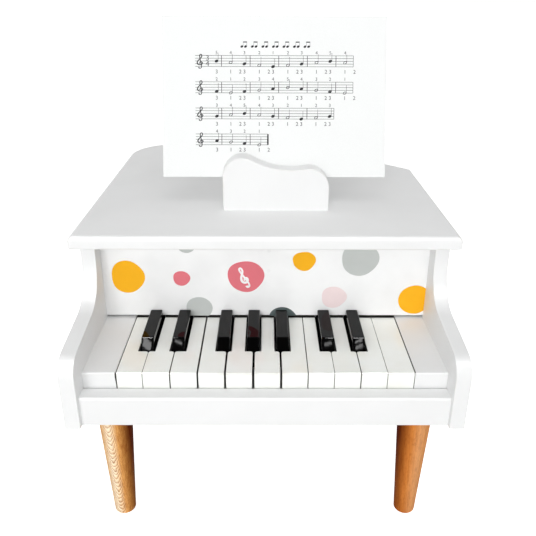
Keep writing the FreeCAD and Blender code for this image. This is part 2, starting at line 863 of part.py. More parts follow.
def make_music_rest():
    """Block on the lid with a wave along its top and a leaning slot for the music."""
    body = new_body("music_rest", S["rest_offset"] - S["rest_width"] / 2, rest_front, lid_top)
    wave = new_sketch(body, "wave", "XZ_Plane")
    width = S["rest_width"]
    bass_radius = S["rest_bass_radius"]
    treble_radius = S["rest_treble_radius"]
    dip_radius = S["rest_dip_radius"]
    bass = (bass_radius, S["rest_bass_height"] - bass_radius)
    treble = (width - treble_radius, S["rest_treble_height"] - treble_radius)
    dip = blend_centre(bass, bass_radius, treble, treble_radius, dip_radius)
    draw_outline(wave, [
        line_to(ZERO, ZERO),
        line_to(width, ZERO),
        line_to(width, treble[1]),
        arc_to(touch_point(treble, treble_radius, dip, dip_radius), treble, treble_radius, left=True),
        arc_to(touch_point(bass, bass_radius, dip, dip_radius), dip, dip_radius, left=False),
        arc_to((ZERO, bass[1]), bass, bass_radius, left=True),
    ])
    pad(body, wave, S["rest_thickness"], backward=True)
    slot = new_sketch(body, "slot", "YZ_Plane")
    across = lean_cosine * (S["slot_width"] / 2)
    down = lean_sine * (S["slot_width"] / 2)
    far_y = S["slot_setback"] + lean_sine * S["rest_bass_height"]
    far_z = S["slot_height"] + lean_cosine * S["rest_bass_height"]
    draw_outline(slot, [
        line_to(S["slot_setback"] - across, S["slot_height"] + down),
        line_to(S["slot_setback"] + across, S["slot_height"] - down),
        line_to(far_y + across, far_z - down),
        line_to(far_y - across, far_z + down),
    ])
    cut(body, slot, forward=True)
    return body


def make_music_sheet():
    """Loose printed card that stands in the slot of the music rest."""
    card = document.addObject("Part::Box", "music_sheet")
    card.Label = "music_sheet"
    card.setExpression("Length", S["sheet_width"].text)
    card.setExpression("Width", S["sheet_thickness"].text)
    card.setExpression("Height", S["sheet_length"].text)
    card.Placement = FreeCAD.Placement(Vector(), FreeCAD.Rotation(Vector(-1, 0, 0), S["slot_lean"].value))
    card.setExpression("Placement.Rotation.Angle", S["slot_lean"].text)
    half = S["sheet_thickness"] / 2
    gap = S["sheet_seat_gap"]
    place(card,
          S["sheet_offset"] - S["sheet_width"] / 2,
          rest_front + S["slot_setback"] + lean_sine * gap - lean_cosine * half,
          lid_top + S["slot_height"] + lean_cosine * gap + lean_sine * half)
    return card


def check_document():
    """Stop if any object of the document failed to build."""
    document.recompute()
    for item in document.Objects:
        if "Invalid" in item.State or "Error" in item.State:
            raise RuntimeError(f"{item.Label} failed: {item.State}")


def make_piano():
    """Build every piece of the piano."""
    keys = key_layout()
    pieces = [
        make_base_board(),
        make_side_panel("left_side_panel", -1, bass_wall_end),
        make_side_panel("right_side_panel", 1, treble_wall_end),
        make_bent_back_panel(),
        make_lid(),
        make_fascia(),
        make_key_slip(),
        make_key_block("left_key_block", -inner_half, keyboard_left + inner_half),
        make_key_block("right_key_block", keyboard_right, inner_half - keyboard_right),
        make_rod("key_pivot_rod", key_pivot_y, key_pivot_z, (inner_half - S["rod_end_gap"]) * 2),
        make_rod("hammer_pivot_rod", hammer_pivot_y, hammer_pivot_z,
                 (inner_half + S["rod_socket_depth"] - S["rod_end_gap"]) * 2),
        make_key_rest_rail(),
        make_felt_strips(),
        make_tone_bar_rails(),
        make_tone_bars(keys),
        make_tone_bar_clamp(),
        make_music_rest(),
        make_music_sheet(),
    ]
    bolts = []
    for name, (x, y) in leg_places().items():
        pieces.append(make_leg(name, x, y))
        bolts.append(make_leg_bolt(name, x, y))
    pieces.append(new_group("leg_bolts", bolts))
    for key in keys:
        pieces.append(make_black_key(key) if key["black"] else make_white_key(key))
        pieces.append(make_hammer(key))
    return pieces


def write_pieces(pieces):
    """Write each sound piece to a file of its own name."""
    check_document()
    for piece in pieces:
        if piece.Shape.isNull() or not piece.Shape.isValid():
            raise RuntimeError(f"{piece.Label} has no sound shape")
    os.makedirs("parts", exist_ok=True)
    for piece in pieces:
        piece.Shape.exportStep(f"parts/{piece.Label}.step")


write_pieces(make_piano())
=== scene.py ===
import json
import math
from collections import namedtuple
from functools import partial

import bmesh
import bpy
from bpy.props import FloatProperty, FloatVectorProperty, IntProperty, PointerProperty
from mathutils import Matrix, Vector


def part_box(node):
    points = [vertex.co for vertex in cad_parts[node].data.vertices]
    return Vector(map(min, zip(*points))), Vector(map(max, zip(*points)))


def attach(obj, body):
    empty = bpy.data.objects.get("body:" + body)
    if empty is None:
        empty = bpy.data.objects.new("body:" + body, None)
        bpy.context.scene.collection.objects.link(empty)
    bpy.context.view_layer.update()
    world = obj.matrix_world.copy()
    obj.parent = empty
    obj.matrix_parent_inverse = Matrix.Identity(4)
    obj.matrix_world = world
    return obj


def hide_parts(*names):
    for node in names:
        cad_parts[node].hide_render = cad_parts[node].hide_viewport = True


bl_info = {
    "name": "Toy grand piano",
    "version": (1, 0, 0),
    "blender": (4, 5, 0),
    "location": "3D View > Sidebar > Toy Piano",
    "description": "Finishes a toy grand piano: paint, spots, keys, oak legs and a card of printed music",
    "category": "Object",
}

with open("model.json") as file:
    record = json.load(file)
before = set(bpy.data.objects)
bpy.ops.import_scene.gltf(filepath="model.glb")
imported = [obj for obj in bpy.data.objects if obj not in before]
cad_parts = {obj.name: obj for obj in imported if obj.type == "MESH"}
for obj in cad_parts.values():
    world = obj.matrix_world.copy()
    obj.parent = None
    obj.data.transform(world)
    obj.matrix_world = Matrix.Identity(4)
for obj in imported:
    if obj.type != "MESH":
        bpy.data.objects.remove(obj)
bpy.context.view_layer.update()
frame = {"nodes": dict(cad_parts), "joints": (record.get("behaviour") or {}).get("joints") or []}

CASE = "case"
CARD = "music_sheet"
SHARP_ANGLE = math.radians(28)
FLAT_ANGLE = math.radians(0.4)
FLAT_WEIGHT = 80
MERGE_DISTANCE = 2e-6
# Two places closer than this are the same.
NEAR = 5 * MERGE_DISTANCE
MM = 0.001
# Least share of an edge along its axis, and of a normal towards its side.
ALONG = 0.99
FACING = 0.9


def nodes_named(start):
    """Names of the frame's nodes that begin with a word, in order."""
    return sorted(name for name in frame["nodes"] if name.startswith(start))


WHITE_KEYS = nodes_named("white_key_")
BLACK_KEYS = nodes_named("black_key_")
HAMMERS = [name for name in nodes_named("hammer_") if name != "hammer_pivot_rod"]
BOARDS = ["base_board", "left_side_panel", "right_side_panel", "bent_back_panel", "lid",
          "key_slip", "left_key_block", "right_key_block", "fascia", "music_rest"]


def shade(name, description, default):
    """A colour that a user can change."""
    return FloatVectorProperty(name=name, description=description, default=default,
                               subtype="COLOR", size=3, min=0.0, max=1.0)


def length(name, description, default):
    """A length in metres that a user can change."""
    return FloatProperty(name=name, description=description, default=default,
                         subtype="DISTANCE", unit="LENGTH", precision=5)


def angle(name, description, degrees):
    """An angle that a user can change."""
    return FloatProperty(name=name, description=description, default=math.radians(degrees), subtype="ANGLE")


def amount(name, description, default):
    """A plain number that a user can change."""
    return FloatProperty(name=name, description=description, default=default)


class PaintProperties(bpy.types.PropertyGroup):
    """Paint of the case and the printed spots."""

    white: shade("White", "Satin white of the case", (0.83, 0.835, 0.835))
    white_shade: shade("White in the shade", "Thinner patches of the white", (0.80, 0.805, 0.803))
    white_rubbed: shade("Rubbed white", "Edges of the boards that hands rub", (0.78, 0.775, 0.755))
    # Whiter than the case's white: painted light that offsets the shade of the lid and cheeks on the fascia;
    # the clef is printed in it too.
    ground: shade("Ground", "White board that the spots are printed on", (0.965, 0.97, 0.97))
    mustard: shade("Mustard", "Yellow spots", (0.95, 0.465, 0.014))
    rose: shade("Rose", "Rose spots", (0.77, 0.19, 0.225))
    grey: shade("Grey", "Light grey spots", (0.55, 0.575, 0.56))
    slate: shade("Slate", "Dark grey spot", (0.11, 0.14, 0.14))
    blush: shade("Blush", "Pale pink spot", (0.92, 0.77, 0.77))
    board_ease: length("Board edges", "Rounding of the boards", 0.0014)
    spot_film: length("Spot film", "Thickness of a printed spot", 0.00015)


class KeyProperties(bpy.types.PropertyGroup):
    """Finish of the keys."""

    ivory: shade("Ivory", "Lacquer of the white keys", (0.93, 0.95, 0.925))
    ivory_shade: shade("Ivory patches", "Warmer patches of the white keys", (0.895, 0.90, 0.85))
    ivory_rubbed: shade("Rubbed ivory", "Edges of the white keys that hands rub", (0.80, 0.79, 0.74))
    # Near-black wood of the key sides, the keys' rear under the fascia and the blocks' key-facing sides:
    # painted shade in the gaps between keys and under the fascia.
    stain: shade("Stain", "Bare wood of the white keys and their end blocks", (0.016, 0.012, 0.009))
    ebony: shade("Ebony", "Gloss of the black keys", (0.0007, 0.0007, 0.0008))
    ebony_shade: shade("Ebony patches", "Handled patches of the black keys", (0.0016, 0.0014, 0.0012))
    white_ease: length("White key edges", "Rounding of a white key", 0.0005)
    corner_ease: length("White key corners", "Rounding of a white key next to a black one", 0.0024)
    black_ease: length("Black key edges", "Rounding of a black key", 0.0009)


class LegProperties(bpy.types.PropertyGroup):
    """Turned oak legs."""

    foot_diameter: length("Foot", "Diameter of a leg at the floor", 0.0188)
    foot_round: length("Foot rounding", "Rounding of the foot", 0.0015)
    sides: IntProperty(name="Sides", description="Flats round a turned leg", default=96, min=12)
    oak_light: shade("Light oak", "Early wood of the paler legs", (1.0, 0.62, 0.24))
    oak_red: shade("Red oak", "Early wood of the redder leg", (0.77, 0.32, 0.085))
    # The warm and heart tints paint shade on one side of each leg; the pale sapwood is grain that doubles as
    # a painted highlight.
    oak_warm: shade("Warm oak", "Tint of the wood next to the heart", (0.86, 0.66, 0.42))
    oak_heart: shade("Oak heart", "Tint of the heartwood", (0.16, 0.06, 0.02))
    oak_sap: shade("Oak sapwood", "Pale wood under the bark", (1.0, 0.90, 0.70))
    oak_dark: shade("Oak rings", "Late wood of the oak", (0.37, 0.10, 0.016))


class CardProperties(bpy.types.PropertyGroup):
    """Card of printed music."""

    paper: shade("Paper", "Card", (0.846, 0.858, 0.853))
    ink: shade("Ink", "Printed lines and notes", (0.035, 0.035, 0.038))
    left_margin: length("Left margin", "From the edge of the card to the staves", 0.031)
    top_margin: length("Top margin", "From the card's top to the first stave's middle", 0.041)
    stave_step: length("Stave step", "From one stave to the next", 0.024)
    line_gap: length("Line gap", "Between two lines of a stave", 0.0025)
    line_width: length("Line width", "Width of a printed line", 0.00036)
    head_rise: length("Ornament rise", "From the first stave's middle up to the ornament", 0.0132)
    head_middle: length("Ornament middle", "From the left end of the staves to its middle", 0.0747)
    pair_step: length("Ornament step", "From one pair of notes to the next", 0.0098)
    pairs: IntProperty(name="Ornament pairs", description="Pairs of notes in the ornament", default=7, min=1)
    ink_film: length("Ink film", "Thickness of the ink", 0.00005)


class StageProperties(bpy.types.PropertyGroup):
    """Camera, floor and light."""

    camera_place: FloatVectorProperty(name="Camera", description="Where the camera stands", size=3,
                                      subtype="TRANSLATION", unit="LENGTH", default=(0.0, -0.63425, 0.4539))
    focal_pixels: amount("Focal length", "Focal length in pixels of the square picture", 640.0)
    camera_tilt: angle("Tilt", "How far the camera looks down", 24.2)
    camera_turn: angle("Turn", "How far the camera looks to the treble side", 0.27)
    camera_roll: angle("Roll", "How far the camera leans", 0.2)
    floor_size: length("Floor", "Side of the square floor", 30.0)
    sky: amount("Sky", "Strength of the even light from all round", 0.58)
    gloss_sky: amount("Sky in gloss", "Light that gloss sees behind the camera", 0.1)
    floor_shade: shade("Floor shade", "White of the floor", (0.9, 0.9, 0.9))
    floor_glow: amount("Floor glow", "Light of the floor that only the camera sees", 0.7)


PROPERTY_GROUPS = {
    "piano_paint": PaintProperties,
    "piano_keys": KeyProperties,
    "piano_legs": LegProperties,
    "piano_card": CardProperties,
    "piano_stage": StageProperties,
}
PICTURE_SIDE = 536
SENSOR_WIDTH = 36.0


# Meshes

def copy_of(node):
    """A mesh in progress of a node's shape, its triangles joined into whole faces."""
    bm = bmesh.new()
    bm.from_mesh(frame["nodes"][node].data)
    bmesh.ops.remove_doubles(bm, verts=bm.verts, dist=MERGE_DISTANCE)
    bmesh.ops.dissolve_limit(bm, angle_limit=FLAT_ANGLE, verts=bm.verts, edges=bm.edges)
    bm.faces.layers.float.new("rubbed")
    return bm


def middle_of(edge):
    """Point half way along an edge."""
    return (edge.verts[0].co + edge.verts[1].co) / 2


def sharp_edges(bm, wanted):
    """Edges at a clear angle that pass a rule, which also gets their middles."""
    return [edge for edge in bm.edges
            if edge.is_manifold and edge.calc_face_angle() > SHARP_ANGLE and wanted(edge, middle_of(edge))]


def ease(bm, edges, width, segments):
    """Round some edges and mark the new faces as the ones that hands rub."""
    rubbed = bm.faces.layers.float["rubbed"]
    made = bmesh.ops.bevel(bm, geom=edges, offset=width, offset_type="OFFSET", segments=segments,
                           profile=0.5, affect="EDGES", clamp_overlap=True, material=-1)
    for face in made["faces"]:
        face[rubbed] = 1.0


def mesh_of(bm, name):
    """A finished mesh from one in progress."""
    mesh = bpy.data.meshes.new(name)
    bm.to_mesh(mesh)
    bm.free()
    return mesh


def add_piece(bm, name, materials, body, replaced=()):
    """Make a mesh in progress into a piece that rides a body and may stand for nodes."""
    mesh = mesh_of(bm, name)
    if "custom_normal" in mesh.attributes:
        mesh.attributes.remove(mesh.attributes["custom_normal"])
    mesh.shade_smooth()
    mesh.set_sharp_from_angle(angle=SHARP_ANGLE)
    for material in materials:
        mesh.materials.append(material)
    piece = bpy.data.objects.new(name, mesh)
    bpy.context.scene.collection.objects.link(piece)
    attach(piece, body)
    if replaced:
        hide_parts(*replaced)
    return piece


def keep_flats_flat(piece):
    """Let the broad faces of a rounded piece rule its shading."""
    weighted = piece.modifiers.new("flat_faces", "WEIGHTED_NORMAL")
    weighted.mode = "FACE_AREA"
    weighted.weight = FLAT_WEIGHT
    weighted.keep_sharp = True


def raise_faces(bm, faces, way):
    """Raise flat faces of a mesh in progress into a film."""
    raised = bmesh.ops.extrude_face_region(bm, geom=faces)["geom"]
    lifted = [item for item in raised if isinstance(item, bmesh.types.BMVert)]
    bmesh.ops.translate(bm, verts=lifted, vec=way)


# Materials

WHITE = (1.0, 1.0, 1.0, 1.0)


def rgba(colour):
    """A colour with full cover."""
    return (*colour, 1.0)


def dimmed(colour, share):
    """A share of a colour's light."""
    return [share * part for part in colour]


def add_node(tree, kind, inputs=None, **settings):
    """A shader node with its settings; an input is a value or another node's output."""
    made = tree.nodes.new(f"ShaderNode{kind}")
    for name, value in settings.items():
        setattr(made, name, value)
    for name, value in (inputs or {}).items():
        if isinstance(value, bpy.types.NodeSocket):
            tree.links.new(value, made.inputs[name])
        else:
            made.inputs[name].default_value = value
    return made


def calc(tree, operation, first, second=0.0, third=0.0):
    """Result of an operation on some numbers."""
    return add_node(tree, "Math", {0: first, 1: second, 2: third}, operation=operation).outputs[0]


# Sockets of a mix of colours, which share their names with others.
MIX_SHARE, MIX_FIRST, MIX_SECOND, MIX_RESULT = 0, 6, 7, 2


def mix(tree, share, first, second, blend="MIX"):
    """Colour between two others."""
    made = add_node(tree, "Mix", {MIX_SHARE: share, MIX_FIRST: first, MIX_SECOND: second},
                    data_type="RGBA", blend_type=blend)
    return made.outputs[MIX_RESULT]


def noise(tree, place, scale, detail=3.0, roughness=0.5):
    """Soft random pattern, from 0 to 1."""
    made = add_node(tree, "TexNoise",
                    {"Vector": place, "Scale": scale, "Detail": detail, "Roughness": roughness})
    return made.outputs["Fac"]


def ramp(tree, value, low, high):
    """A value stretched so that low becomes 0 and high becomes 1."""
    made = add_node(tree, "MapRange", {"Value": value, "From Min": low, "From Max": high})
    return made.outputs["Result"]


def object_place(tree):
    """Place on the object, in metres."""
    return add_node(tree, "TexCoord").outputs["Object"]


def mapped(tree, place, **changes):
    """A place after a Location, Rotation or Scale."""
    return add_node(tree, "Mapping", {"Vector": place, **changes}).outputs[0]


# Kinds of sockets by the last word of their names; others hold numbers.
SOCKET_KINDS = {"Colour": "Color", "Wood": "Color", "Vector": "Vector"}


def new_group(name, inputs, outputs):
    """An empty shared effect, and the sockets at its two ends."""
    group = bpy.data.node_groups.new(name, "ShaderNodeTree")
    for way, labels in (("INPUT", inputs), ("OUTPUT", outputs)):
        for label in labels:
            kind = SOCKET_KINDS.get(label.split()[-1], "Float")
            group.interface.new_socket(label, in_out=way, socket_type=f"NodeSocket{kind}")
    return group, group.nodes.new("NodeGroupInput").outputs, group.nodes.new("NodeGroupOutput").inputs


def give(group, result, **values):
    """Link what a shared effect works out to its outputs."""
    for name, value in values.items():
        group.links.new(value, result[name])


def sprayed_skin():
    """Shared effect of sprayed lacquer: uneven colour and gloss, and a fine orange peel."""
    group, given, result = new_group("sprayed_skin", [
        "Colour", "Patch Colour", "Patch Scale", "Roughness", "Roughness Spread", "Peel Scale",
    ], ["Colour", "Roughness", "Height"])
    place = object_place(group)
    patches = ramp(group, noise(group, place, given["Patch Scale"], 4.0), 0.3, 0.75)
    colour = mix(group, patches, given["Colour"], given["Patch Colour"])
    gloss = noise(group, place, calc(group, "MULTIPLY", given["Patch Scale"], 3.0), 2.0)
    swing = calc(group, "MULTIPLY", calc(group, "SUBTRACT", gloss, 0.5), given["Roughness Spread"])
    roughness = calc(group, "ADD", given["Roughness"], swing)
    peel = noise(group, place, given["Peel Scale"], 2.0)
    give(group, result, Colour=colour, Roughness=roughness, Height=peel)
    return group


def rubbed_edges():
    """Shared effect of handling: edges lose a little colour in uneven stretches."""
    group, given, result = new_group("rubbed_edges", [
        "Colour", "Rubbed Colour", "Roughness", "Polish",
    ], ["Colour", "Roughness"])
    edge = add_node(group, "Attribute", attribute_name="rubbed").outputs["Fac"]
    stretches = ramp(group, noise(group, object_place(group), 45.0, 4.0), 0.42, 0.68)
    worn = calc(group, "MULTIPLY", edge, stretches)
    colour = mix(group, worn, given["Colour"], given["Rubbed Colour"])
    polish = calc(group, "MULTIPLY", worn, given["Polish"])
    give(group, result, Colour=colour, Roughness=calc(group, "SUBTRACT", given["Roughness"], polish))
    return group


# Stretch of fibres and pores, and how much rings, fibres and pores colour and dull the wood.
FIBRE_STRETCH = (1.0, 1.0, 0.035)
PORE_STRETCH = (1.0, 1.0, 0.2)
RING_POWER = 1.8
RING_SHARE = 0.66
FIBRE_SHARE = 0.42
PORE_SHARE = 0.22
FIBRE_DULLNESS = 0.12
# Depth of the fibres as a share of that of the pores.
FIBRE_DEPTH = 0.4


def wood_grain():
    """Shared effect of sawn wood: year rings, fibres along the grain and short open pores."""
    group, given, result = new_group("wood_grain", [
        "Vector", "Early Wood", "Late Wood", "Ring Scale", "Roughness",
    ], ["Colour", "Roughness", "Height", "Rings"])
    rings = add_node(group, "TexWave", {
        "Vector": given["Vector"], "Scale": given["Ring Scale"], "Distortion": 6.0, "Detail": 3.0,
        "Detail Scale": 0.55, "Detail Roughness": 0.55,
    }, wave_type="RINGS", rings_direction="Z", wave_profile="SAW").outputs["Fac"]
    fibres = noise(group, mapped(group, given["Vector"], Scale=FIBRE_STRETCH), 600.0, 5.0, 0.7)
    pores = noise(group, mapped(group, given["Vector"], Scale=PORE_STRETCH), 1150.0, 1.0)
    pores = ramp(group, pores, 0.52, 0.68)
    late = calc(group, "POWER", rings, RING_POWER)
    streaks = calc(group, "MULTIPLY", ramp(group, fibres, 0.36, 0.66), FIBRE_SHARE)
    fibred = calc(group, "ADD", calc(group, "MULTIPLY", late, RING_SHARE), streaks)
    toned = mix(group, fibred, given["Early Wood"], given["Late Wood"])
    pored = calc(group, "MULTIPLY", pores, PORE_SHARE)
    colour = mix(group, pored, toned, given["Late Wood"], "MULTIPLY")
    dull = calc(group, "MULTIPLY", fibred, FIBRE_DULLNESS)
    roughness = calc(group, "ADD", given["Roughness"], dull)
    depth = calc(group, "SUBTRACT", calc(group, "MULTIPLY", fibres, FIBRE_DEPTH), pores)
    give(group, result, Colour=colour, Roughness=roughness, Height=depth, Rings=late)
    return group


def empty_tree(owner):
    """The node tree of a new material or world, without nodes."""
    owner.use_nodes = True
    owner.node_tree.nodes.clear()
    return owner.node_tree


def new_material(name, **inputs):
    """A material with one Principled shader, and its tree and shader."""
    material = bpy.data.materials.new(name)
    tree = empty_tree(material)
    shader = add_node(tree, "BsdfPrincipled")
    for label, value in inputs.items():
        shader.inputs[label.replace("_", " ").title().replace("Ior", "IOR")].default_value = value
    add_node(tree, "OutputMaterial", {"Surface": shader.outputs[0]})
    return material, tree, shader


def use_group(tree, build, inputs):
    """Outputs of a shared effect, which its first use builds."""
    group = bpy.data.node_groups.get(build.__name__) or build()
    return add_node(tree, "Group", inputs, node_tree=group).outputs


def dress(tree, shader, colour, roughness, height, strength, distance):
    """Give a shader its colour, its roughness and its relief."""
    tree.links.new(colour, shader.inputs["Base Color"])
    tree.links.new(roughness, shader.inputs["Roughness"])
    bump = add_node(tree, "Bump", {"Height": height, "Strength": strength, "Distance": distance})
    tree.links.new(bump.outputs[0], shader.inputs["Normal"])


def lacquer(name, colour, patch, roughness, spread=0.1, peel=700.0, patch_scale=18.0, rubbed=None,
            **inputs):
    """Sprayed finish with uneven colour and gloss, orange peel and, if wanted, rubbed edges."""
    material, tree, shader = new_material(name, **inputs)
    skin = use_group(tree, sprayed_skin, {
        "Colour": rgba(colour), "Patch Colour": rgba(patch), "Patch Scale": patch_scale,
        "Roughness": roughness, "Roughness Spread": spread, "Peel Scale": peel,
    })
    height = skin["Height"]
    if rubbed is not None:
        skin = use_group(tree, rubbed_edges, {
            "Colour": skin["Colour"], "Rubbed Colour": rgba(rubbed),
            "Roughness": skin["Roughness"], "Polish": 0.12,
        })
    dress(tree, shader, skin["Colour"], skin["Roughness"], height, strength=0.04, distance=0.0002)
    return material


# Way from a leg's pith, lean and scale of its rings, side of its heart and its painted shade, share of the
# sapwood's painted highlight and colour.
Grain = namedtuple("Grain", "pith lean ring_scale heart sap tone")
LEG_GRAIN = {
    "front_left_leg": Grain((0.007, 0.0424), (8, 1, 0), 360.0, 1.0, 0.9, "oak_light"),
    "front_right_leg": Grain((-0.093, 0.040), (1, 2, 0), 5.0, -0.92, 0.1, "oak_red"),
    "rear_leg": Grain((0.016, 0.014), (-5, 6, 0), 120.0, 1.0, 0.4, "oak_light"),
}
# From a leg's middle towards its heart side: where the painted shade begins and ends, first warmer and then
# darker.
WARM_SHADE_RAMP = (-0.003, 0.008)
SHADE_RAMP = (0.004, 0.0125)
# The other way: the middle of the pale sapwood band, painted highlight kept between the rings, and how far
# from there it ends and is whole.
SAP_HIGHLIGHT_PLACE = 0.0043
SAP_HIGHLIGHT_RAMP = (0.00728, 0.00112)


def oak(name, centre, grain_of):
    """Oiled oak, whose rings run round a pith beside the leg and show as arches on its face, with painted
    shade towards its heart side and a pale sapwood band of painted highlight.
    """
    legs = bpy.context.scene.piano_legs
    material, tree, shader = new_material(name, ior=1.06)
    place = object_place(tree)
    pith = (grain_of.pith[0] - centre.x, grain_of.pith[1] - centre.y, 0.0)
    lean = [math.radians(degrees) for degrees in grain_of.lean]
    turned = mapped(tree, mapped(tree, place, Location=pith), Rotation=lean)
    grain = use_group(tree, wood_grain, {
        "Vector": turned, "Early Wood": rgba(getattr(legs, grain_of.tone)), "Late Wood": rgba(legs.oak_dark),
        "Ring Scale": grain_of.ring_scale, "Roughness": 0.36,
    })
    across = add_node(tree, "SeparateXYZ", {"Vector": place}).outputs["X"]
    inward = calc(tree, "MULTIPLY", calc(tree, "SUBTRACT", across, centre.x), grain_of.heart)
    # Painted shade: warmer, then darker towards the heart side.
    warm_shade = ramp(tree, inward, *WARM_SHADE_RAMP)
    warm_shaded = mix(tree, warm_shade, grain["Colour"], rgba(legs.oak_warm), "MULTIPLY")
    shaded = ramp(tree, inward, *SHADE_RAMP)
    toned = mix(tree, shaded, warm_shaded, rgba(legs.oak_heart), "MULTIPLY")
    # Pale sapwood between the rings: painted highlight shaped like grain.
    from_band = calc(tree, "ABSOLUTE", calc(tree, "ADD", inward, SAP_HIGHLIGHT_PLACE))
    highlight_band = calc(tree, "MULTIPLY", ramp(tree, from_band, *SAP_HIGHLIGHT_RAMP), grain_of.sap)
    sap = calc(tree, "MULTIPLY", highlight_band, calc(tree, "SUBTRACT", 1.0, grain["Rings"]))
    colour = mix(tree, sap, toned, rgba(legs.oak_sap))
    dress(tree, shader, colour, grain["Roughness"], grain["Height"], strength=0.35, distance=0.0002)
    return material


# Turn of the grain along the bars, and place of the pith outside them.
PLANK_TURN = (0.0, math.radians(88), 0.0)
PLANK_PITH = (0.0, 0.02, 0.03)


def softwood(name, early, late):
    """Sawn softwood without a finish, its grain along the bars."""
    material, tree, shader = new_material(name)
    across = mapped(tree, object_place(tree), Rotation=PLANK_TURN, Location=PLANK_PITH)
    grain = use_group(tree, wood_grain, {
        "Vector": across, "Early Wood": rgba(early), "Late Wood": rgba(late),
        "Ring Scale": 60.0, "Roughness": 0.55,
    })
    dress(tree, shader, grain["Colour"], grain["Roughness"], grain["Height"], strength=0.3, distance=0.0002)
    return material


def stained_wood():
    """Near-black wood where the keys and their end blocks aren't painted white: painted shade that darkens
    the gaps between keys and the line under the fascia.
    """
    stain = bpy.context.scene.piano_keys.stain
    return bpy.data.materials.get("stained_wood") or softwood("stained_wood", stain, dimmed(stain, 0.6))


def mottled(name, colours, rough, pattern, bump, spread=(0.0, 1.0), stretch=(1.0, 1.0, 1.0), **inputs):
    """A material whose colour, roughness and height follow one fine noise."""
    material, tree, shader = new_material(name, **inputs)
    place = mapped(tree, object_place(tree), Scale=stretch)
    flecks = ramp(tree, noise(tree, place, *pattern), *spread)
    tone = mix(tree, flecks, *map(rgba, colours))
    roughness = add_node(tree, "MapRange", {"Value": flecks, "To Min": rough[0], "To Max": rough[1]})
    dress(tree, shader, tone, roughness.outputs["Result"], flecks, *bump)
    return material


def paper_stock(name, colour):
    """Matt card with a faint cloud of fibres."""
    return mottled(name, (colour, dimmed(colour, 0.965)), rough=(0.72, 0.86), pattern=(900.0, 6.0, 0.65),
                   bump=(0.08, 0.0001), spread=(0.3, 0.7), specular_ior_level=0.25)


def brushed_steel(name, colours):
    """Drawn steel with fine lines along its length."""
    return mottled(name, colours, rough=(0.22, 0.42), pattern=(3000.0, 4.0), bump=(0.1, 0.0001),
                   stretch=(0.02, 1.0, 1.0), metallic=1.0)


def pressed_felt(name, colour):
    """Pressed wool felt with a matted nap."""
    return mottled(name, (dimmed(colour, 0.7), colour), rough=(0.85, 1.0), pattern=(2200.0, 6.0, 0.7),
                   bump=(0.6, 0.0004), sheen_weight=0.4, sheen_roughness=0.6, specular_ior_level=0.1)


# The clef as one stroke: places in gaps of a stave from the line it marks, and shares of its width.
CLEF_STROKE = (
    (-0.30, -0.15, 0.7), (-0.15, 0.55, 0.8), (0.45, 0.80, 0.9), (1.00, 0.10, 1.0), (0.35, -1.05, 1.1),
    (-0.95, -0.75, 1.1), (-1.25, 0.45, 1.1), (-0.55, 1.65, 1.0), (0.35, 2.55, 0.9), (0.75, 3.55, 0.9),
    (0.40, 4.55, 0.8), (-0.25, 4.05, 0.8), (-0.20, 3.00, 0.8), (0.10, 1.20, 0.8), (0.40, -0.70, 0.8),
    (0.55, -1.95, 0.8), (0.10, -2.75, 0.9), (-0.60, -2.50, 1.1), (-0.50, -1.95, 1.2),
)


def add_drawn(bm, curve, place):
    """Add a curve or a number to a mesh in progress, and drop the curve."""
    holder = bpy.data.objects.new("drawn", curve)
    mesh = bpy.data.meshes.new_from_object(holder)
    mesh.transform(place)
    bm.from_mesh(mesh)
    bpy.data.objects.remove(holder)
    bpy.data.curves.remove(curve)
    bpy.data.meshes.remove(mesh)


def add_stroke(bm, points, width, place):
    """Add a stroke to a mesh in progress; each point has its own share of the width."""
    curve = bpy.data.curves.new("stroke", "CURVE")
    curve.dimensions = "3D"
    curve.bevel_depth = width / 2
    curve.bevel_resolution = 3
    curve.resolution_u = 8
    curve.use_fill_caps = True
    spline = curve.splines.new("NURBS")
    spline.points.add(len(points) - 1)
    for point, (x, y, share) in zip(spline.points, points):
        point.co = (x, y, 0.0, 1.0)
        point.radius = share
    spline.order_u = 4
    spline.use_endpoint_u = True
    add_drawn(bm, curve, place)


def add_figure(bm, number, x, y, size):
    """Add a number to a drawing, centred on a place."""
    text = bpy.data.curves.new("figure", "FONT")
    text.body = str(number)
    text.size = size
    text.align_x = text.align_y = "CENTER"
    add_drawn(bm, text, Matrix.Translation((x, y, 0.0)))


def board_face(x, y, z):
    """Place that stands a flat drawing on a board's front."""
    return Matrix.Translation((x, y, z)) @ Matrix.Rotation(math.radians(90), 4, "X")


# Colour of a spot, its middle, its size across and up, and how far and which way it wobbles.
Spot = namedtuple("Spot", "colour x z width height wobble turn")
# Spots, in millimetres from the middle of the case and from the floor, and degrees.
SPOTS = (
    Spot("mustard", -126.2, 205.3, 30.3, 32.4, 0.035, 0),
    Spot("rose", -76.9, 203.8, 15.6, 14.7, 0.03, 40),
    Spot("grey", -70.9, 237.2, 17.0, 16.0, 0.02, 0),
    Spot("grey", -61.8, 172.7, 24.4, 24.0, 0.02, 60),
    Spot("rose", -17.8, 205.9, 33.6, 31.0, 0.03, 84),
    Spot("mustard", 35.4, 221.3, 20.9, 18.8, 0.045, 90),
    Spot("grey", 86.2, 223.4, 33.8, 33.0, 0.025, 30),
    Spot("blush", 63.9, 184.7, 23.3, 21.9, 0.04, 20),
    Spot("slate", 16.4, 160.7, 27.0, 27.0, 0.02, 0),
    Spot("mustard", 139.3, 182.2, 30.0, 29.5, 0.008, 150),
)
# Clef on a rose spot: its place in millimetres, the gap of its stave, its width and lean.
SIGN_PLACE = (-18.4, 202.3)
SIGN_GAP = 2.95 * MM
SIGN_STROKE = 0.68
SIGN_LEAN = math.radians(26)
SPOT_SIDES = 96
HEAD_SIDES = 24


